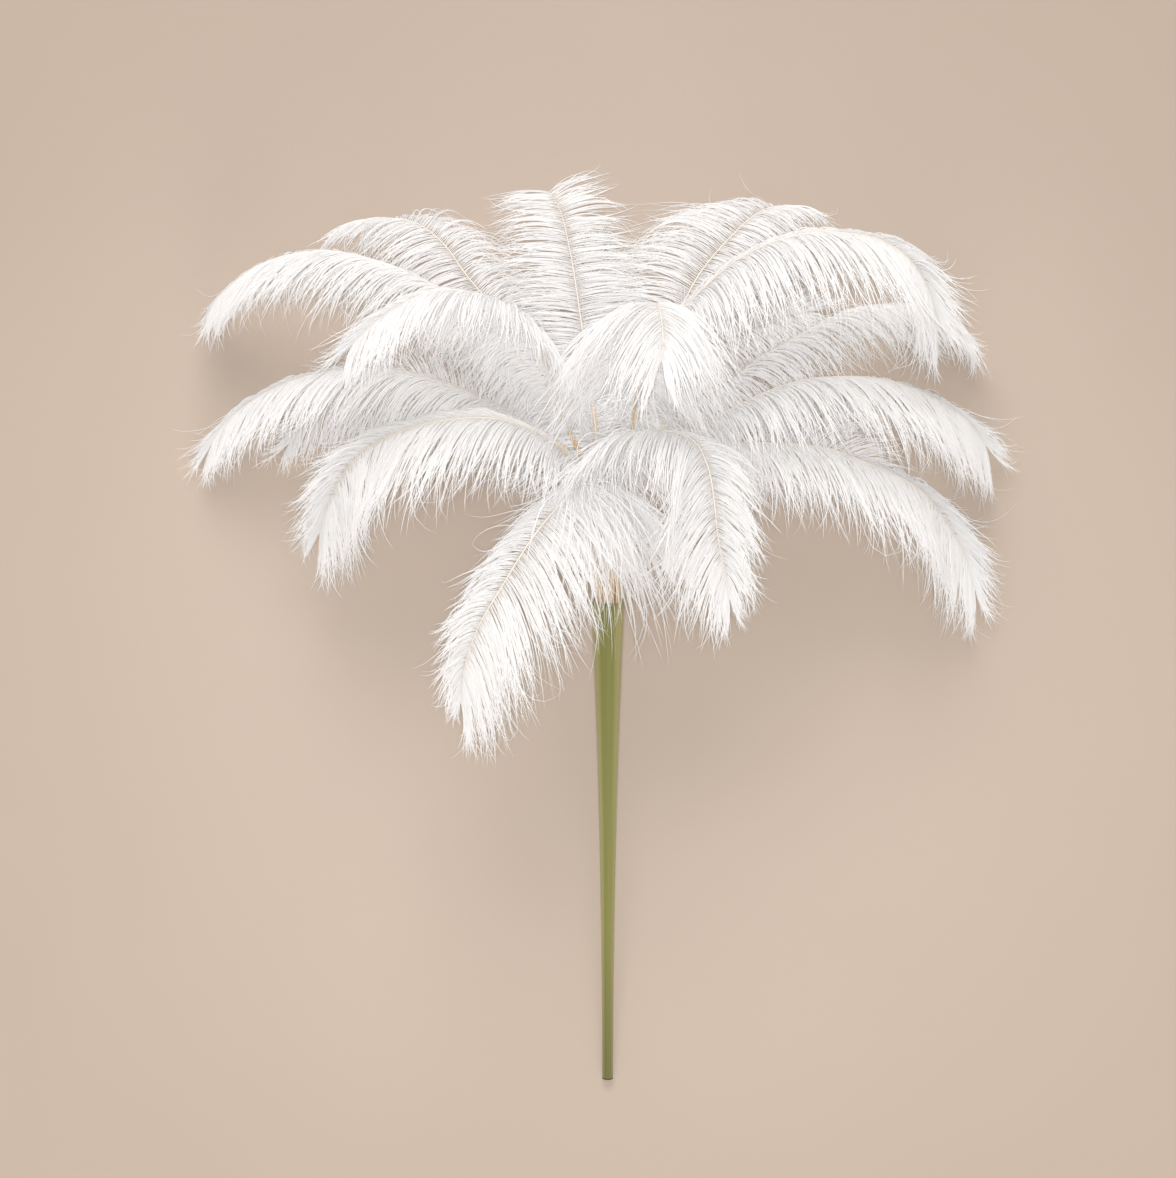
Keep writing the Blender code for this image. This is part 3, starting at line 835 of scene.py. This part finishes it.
def shaftTube(plume, curve, distances, start):
    shape = quillShape
    total = distances[-1]
    where = np.linspace(0.0, total, shape["rows"])
    place, forward, side, back = shaftFrame(plume, curve, distances, where, start)
    radius = shaftRadius(where / total, start / total)
    sides = shape["sides"]
    turn = np.arange(sides + 1) * 2 * math.pi / sides
    spokes = side[:, None] * np.cos(turn)[None, :, None] + back[:, None] * np.sin(turn)[None, :, None]
    points = place[:, None] + spokes * radius[:, None, None]
    layout = np.empty((shape["rows"], sides + 1, 2))
    layout[:, :, 0] = mapLayout["shaftFrom"] + mapLayout["shaftWidth"] * np.arange(sides + 1) / sides
    # the lower half of the map is the bare quill, the upper half the shaft in the vane
    layout[:, :, 1] = np.interp(where, [0.0, start, total], [0.0, 0.5, 1.0])[:, None]
    points = points.reshape(-1, 3)
    points[:, 2] = np.maximum(points[:, 2], barbShape["lowest"])
    return {
        "points": points,
        "loops": tubeLoops(shape["rows"], sides),
        "totals": np.full((shape["rows"] - 1) * sides, 4),
        "layout": layout.reshape(-1, 2),
        "slot": 1,
        "normals": spokes.reshape(-1, 3),
    }


def joinStrips(name, strips, materials):
    points = np.concatenate([strip["points"] for strip in strips])
    offsets = np.cumsum([0] + [len(strip["points"]) for strip in strips])
    loops = np.concatenate([strip["loops"] + offset for strip, offset in zip(strips, offsets)])
    totals = np.concatenate([strip["totals"] for strip in strips])
    layout = np.concatenate([strip["layout"] for strip in strips])
    slots = np.concatenate([np.full(len(strip["totals"]), strip["slot"]) for strip in strips])
    mesh = bpy.data.meshes.new(name)
    mesh.vertices.add(len(points))
    mesh.vertices.foreach_set("co", points.astype(np.float32).ravel())
    mesh.loops.add(len(loops))
    mesh.loops.foreach_set("vertex_index", loops.astype(np.int32))
    mesh.polygons.add(len(totals))
    starts = np.cumsum(totals) - totals
    mesh.polygons.foreach_set("loop_start", starts.astype(np.int32))
    mesh.polygons.foreach_set("loop_total", totals.astype(np.int32))
    mesh.polygons.foreach_set("material_index", slots.astype(np.int32))
    mesh.polygons.foreach_set("use_smooth", np.ones(len(totals), bool))
    uvs = mesh.uv_layers.new(name=mapName)
    uvs.data.foreach_set("uv", layout[loops].astype(np.float32).ravel())
    mesh.update(calc_edges=True)
    mesh.validate()
    if all("normals" in strip for strip in strips):
        normals = np.concatenate([strip["normals"] for strip in strips])
        mesh.normals_split_custom_set_from_vertices(normals.astype(np.float32))
    for material in materials:
        mesh.materials.append(material)
    piece = bpy.data.objects.new(name, mesh)
    piece.shadow_terminator_geometry_offset = 0.0
    bpy.context.scene.collection.objects.link(piece)
    return piece


def growPlume(name, plume, seed):
    rng = np.random.default_rng(seed)
    curve, distances = shaftCurve(plume)
    start = quillShape["depth"] + plume["bare"] * millimetre
    barbs = growBarbs(plume, curve, distances, start, rng)
    strips = [barbStrips(*barbs, rng)]
    strips.append(shaftTube(plume, curve, distances, start))
    piece = joinStrips(name + "_barbs", strips, [barbMaterial, shaftMaterial])
    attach(piece, "root")
    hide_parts(name)
    return piece


firstSeed = 410
faceCount = 0
for number, (name, plume) in enumerate(plumes.items()):
    piece = growPlume(name, plume, firstSeed + number)
    piece.data.calc_loop_triangles()
    faceCount += len(piece.data.loop_triangles)
print("plumes grown:", len(plumes), "with", faceCount, "triangles")


stemFinish = {
    "bands": [  # from the darkest to the palest
        (0.00, (0.160, 0.160, 0.036)),
        (0.30, (0.200, 0.190, 0.050)),
        (0.60, (0.300, 0.274, 0.108)),
        (1.00, (0.470, 0.412, 0.215)),
    ],
    "paintedSheenBands": 3,  # the number of paler lengthwise bands round the stem, painted sheen for the sides' reflection of the bright surroundings
    "darkest": 0.255,  # place round the stem of the darkest band, which faces up, between two paler ones
    "paintedSheenDepth": 0.30,
    "bandStretch": (7.0, 0.8, 1.0),
    "bandReach": (0.0, 0.9),
    "fibreStretch": (120.0, 3.0, 1.0),
    "fibres": (0.92, 1.08),
    # painted shade towards the stem's foot, and how far up it reaches
    "footShade": 0.60,
    "footReach": 0.30,
    "roughness": (0.34, 0.50),
    "bump": (0.15, 0.0004),
    "sheen": 0.35,
    "sheenRoughness": 0.35,
    "sheenTint": (0.95, 0.88, 0.66),
}

# the near-black foot end is painted shade, for the dark line under the stem's foot
footEndShadeFinish = {
    "colour": (0.050, 0.045, 0.020),
    "grain": (0.7, 1.4),  # darkest and palest, as shares of the colour
    "grainStretch": (80.0, 80.0, 1.0),
    "roughness": (0.5, 0.8),
}


def makeStemMaterial(look):
    material, tree, shader = newMaterial("green stem")
    layout, parts = readMap(tree)
    bands = addNoise(tree, addStretch(tree, layout, look["bandStretch"]), 1.0, 3.0, 0.6)
    fibres = addNoise(tree, addStretch(tree, layout, look["fibreStretch"]), 1.0)
    # painted sheen: a wave round the stem, darkest where the stem faces up and palest towards its sides as
    # seen from above, stands in for the sides' reflection of the bright surroundings
    turn = 2 * math.pi * look["paintedSheenBands"]
    angle = addNode(tree, "ShaderNodeMath", operation="MULTIPLY_ADD")
    tree.links.new(parts["X"], angle.inputs[0])
    angle.inputs[1].default_value = turn
    angle.inputs[2].default_value = -turn * look["darkest"]
    wave = addNode(tree, "ShaderNodeMath", operation="COSINE")
    tree.links.new(angle.outputs["Value"], wave.inputs[0])
    place = addNode(tree, "ShaderNodeMath", operation="MULTIPLY_ADD")
    tree.links.new(wave.outputs["Value"], place.inputs[0])
    place.inputs[1].default_value = -look["paintedSheenDepth"]
    tree.links.new(addRange(tree, bands, *look["bandReach"]), place.inputs[2])
    colour = addRamp(tree, place.outputs["Value"], look["bands"])
    colour = addTint(tree, colour, addRange(tree, fibres, *look["fibres"]))
    # painted shade: the stem darkens towards its foot
    foot = addNode(tree, "ShaderNodeMapRange")
    tree.links.new(parts["Y"], foot.inputs["Value"])
    foot.inputs["From Max"].default_value = look["footReach"]
    foot.inputs["To Min"].default_value = look["footShade"]
    colour = addTint(tree, colour, foot.outputs["Result"])
    tree.links.new(colour, shader.inputs["Base Color"])
    tree.links.new(addRange(tree, fibres, *look["roughness"]), shader.inputs["Roughness"])
    addBump(tree, fibres, *look["bump"], shader)
    shader.inputs["Sheen Weight"].default_value = look["sheen"]
    shader.inputs["Sheen Roughness"].default_value = look["sheenRoughness"]
    shader.inputs["Sheen Tint"].default_value = (*look["sheenTint"], 1.0)
    return material


def makeFootEndShadeMaterial(look):
    material, tree, shader = newMaterial("painted shade foot end")
    layout = addNode(tree, "ShaderNodeUVMap", uv_map=mapName).outputs["UV"]
    grain = addNoise(tree, addStretch(tree, layout, look["grainStretch"]), 1.0, 2.0)
    low, high = [tuple(share * c for c in look["colour"]) for share in look["grain"]]
    tree.links.new(addRamp(tree, grain, [(0.2, low), (0.8, high)]), shader.inputs["Base Color"])
    tree.links.new(addRange(tree, grain, *look["roughness"]), shader.inputs["Roughness"])
    return material


def stemProfile(shape, length):
    # distances along the stem and from its middle, from the foot out and up, and down into the cup
    low, high, edge = shape["footRadius"], shape["mouthRadius"], shape["footEdge"]
    wall, depth = shape["cupWall"], shape["cupDepth"]
    profile = [(0.0, 0.0), (0.0, low * 0.55), (0.0, low - edge)]
    for angle in np.radians((20, 45, 70, 90)):
        profile.append((edge * (1 - math.cos(angle)), low - edge + edge * math.sin(angle)))
    rimRows = len(profile)
    profile.append((shape["rimLength"], low))
    for share in np.linspace(0.0, 1.0, shape["rings"])[1:]:
        profile.append((length * share, low + (high - low) * share**2))
    for angle in np.radians((60, 120, 180)):
        top = length - shape["mouthRound"] * (1.0 - math.sin(angle))
        profile.append((top, high - wall / 2 + wall / 2 * math.cos(angle)))
    floorRadius = low + (high - low) * ((length - depth) / length)**2 - wall
    for share in np.linspace(0.0, 1.0, shape["cupRings"])[1:]:
        profile.append((length - depth * share, high - wall + (floorRadius - high + wall) * share))
    profile.append((length - depth, 0.0))
    return np.array(profile), rimRows


def turnStem(shape):
    foot, mouth, along, across, lift = stemLine(shape)
    profile, rimRows = stemProfile(shape, float(np.linalg.norm(mouth - foot)))
    sides = shape["sides"]
    turn = np.arange(sides + 1) * 2 * math.pi / sides
    spokes = np.outer(np.cos(turn), across) + np.outer(np.sin(turn), lift)
    points = foot + profile[:, :1, None] * along + profile[:, 1, None, None] * spokes[None]
    runs = np.concatenate([[0.0], np.cumsum(np.linalg.norm(np.diff(profile, axis=0), axis=1))])
    layout = np.empty((len(profile), sides + 1, 2))
    margin = mapLayout["margin"]
    layout[:, :, 0] = margin + (1.0 - 2 * margin) * np.arange(sides + 1) / sides
    layout[:, :, 1] = margin + (1.0 - 2 * margin) * (runs / runs[-1])[:, None]
    row = np.repeat(np.arange(len(profile) - 1), sides)
    return {
        "points": points.reshape(-1, 3),
        "loops": tubeLoops(len(profile), sides),
        "totals": np.full(len(row), 4),
        "layout": layout.reshape(-1, 2),
        # the foot's end and its rounded edge take the painted shade
        "slot": np.where(row < rimRows, 1, 0),
    }


stemMaterials = [makeStemMaterial(stemFinish), makeFootEndShadeMaterial(footEndShadeFinish)]
stem = joinStrips("stem_turned", [turnStem(stemShape)], stemMaterials)
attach(stem, "root")
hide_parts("stem")
print("stem turned")


floorLook = {
    "size": 60.0,
    "centre": (0.0, 0.10),
    "reach": 1.1,  # the distance from the middle that the fade is a share of
    "fade": (0.35, 0.80),  # where the floor turns from pale to dark: a painted pool of light round the middle
    "pale": (0.464, 0.378, 0.312),
    "dark": (0.416, 0.332, 0.268),
    "near": 1.06,  # painted light: the floor's shade at the bottom of the view, paler, with the top as much darker
    "nearFrom": 0.5,
    "nearTo": -0.5,
    "clouds": (0.965, 1.035),
    "cloudScale": 2.2,
    "roughness": 0.9,
    "gloss": 0.1,
}


def addFloor(look):
    half = look["size"] / 2
    corners = [(-half, -half, 0), (half, -half, 0), (half, half, 0), (-half, half, 0)]
    mesh = bpy.data.meshes.new("floor")
    mesh.from_pydata(corners, [], [(0, 1, 2, 3)])
    material, tree, shader = newMaterial("warm pale floor")
    place = addNode(tree, "ShaderNodeTexCoord").outputs["Object"]
    shift = addNode(tree, "ShaderNodeMapping")
    shift.inputs["Location"].default_value = (-look["centre"][0], -look["centre"][1], 0.0)
    tree.links.new(place, shift.inputs["Vector"])
    # painted pool of light: the floor pale near the middle and darker far out
    fade = addNode(tree, "ShaderNodeVectorMath", operation="LENGTH")
    tree.links.new(shift.outputs["Vector"], fade.inputs[0])
    far = addNode(tree, "ShaderNodeMapRange")
    far.inputs["From Max"].default_value = look["reach"]
    tree.links.new(fade.outputs["Value"], far.inputs["Value"])
    stops = list(zip(look["fade"], (look["pale"], look["dark"])))
    colour = addRamp(tree, far.outputs["Result"], stops)
    clouds = addNoise(tree, place, look["cloudScale"])
    colour = addTint(tree, colour, addRange(tree, clouds, *look["clouds"]))
    # painted light: the floor paler towards the bottom of the view and darker towards the top
    apart = addNode(tree, "ShaderNodeSeparateXYZ")
    tree.links.new(place, apart.inputs["Vector"])
    down = addNode(tree, "ShaderNodeMapRange")
    tree.links.new(apart.outputs["Y"], down.inputs["Value"])
    down.inputs["From Min"].default_value = look["nearFrom"]
    down.inputs["From Max"].default_value = look["nearTo"]
    down.inputs["To Min"].default_value = 2.0 - look["near"]
    down.inputs["To Max"].default_value = look["near"]
    colour = addTint(tree, colour, down.outputs["Result"])
    tree.links.new(colour, shader.inputs["Base Color"])
    shader.inputs["Roughness"].default_value = look["roughness"]
    shader.inputs["Specular IOR Level"].default_value = look["gloss"]
    mesh.materials.append(material)
    floor = bpy.data.objects.new("floor", mesh)
    bpy.context.scene.collection.objects.link(floor)


lightRig = {
    "dome": ((1.0, 0.975, 0.945), 0.36),
    "panels": [
        {"name": "overhead panel", "place": (-0.01, 0.04, 8.2), "size": 0.24, "power": 450.0,
         "colour": (0.985, 0.992, 1.0)},
        {"name": "front panel", "place": (0.2, -3.6, 1.7), "size": 2.8, "power": 48.0,
         "colour": (1.0, 0.985, 0.965)},
        {"name": "top panel", "place": (-0.4, 3.4, 3.4), "size": 2.6, "power": 125.0,
         "colour": (0.985, 0.992, 1.0)},
    ],
    "aim": (0.0, 0.15, 0.15),
}


def addLights(rig):
    scene = bpy.context.scene
    world = bpy.data.worlds.new("soft dome")
    scene.world = world
    world.use_nodes = True
    background = world.node_tree.nodes["Background"]
    background.inputs["Color"].default_value = (*rig["dome"][0], 1.0)
    background.inputs["Strength"].default_value = rig["dome"][1]
    for panel in rig["panels"]:
        data = bpy.data.lights.new(panel["name"], "AREA")
        data.shape = "SQUARE"
        data.size = panel["size"]
        data.energy = panel["power"]
        data.color = panel["colour"]
        lamp = bpy.data.objects.new(panel["name"], data)
        place = np.array(panel["place"])
        toward = unit(np.array(rig["aim"]) - place)
        lamp.location = place
        tilt = math.acos(-toward[2])
        lamp.rotation_euler = (tilt, 0.0, math.atan2(toward[1], toward[0]) - math.pi / 2)
        scene.collection.objects.link(lamp)
    scene.view_settings.view_transform = "Standard"
    scene.view_settings.look = "None"


addFloor(floorLook)
addLights(lightRig)
print("floor and lights placed")
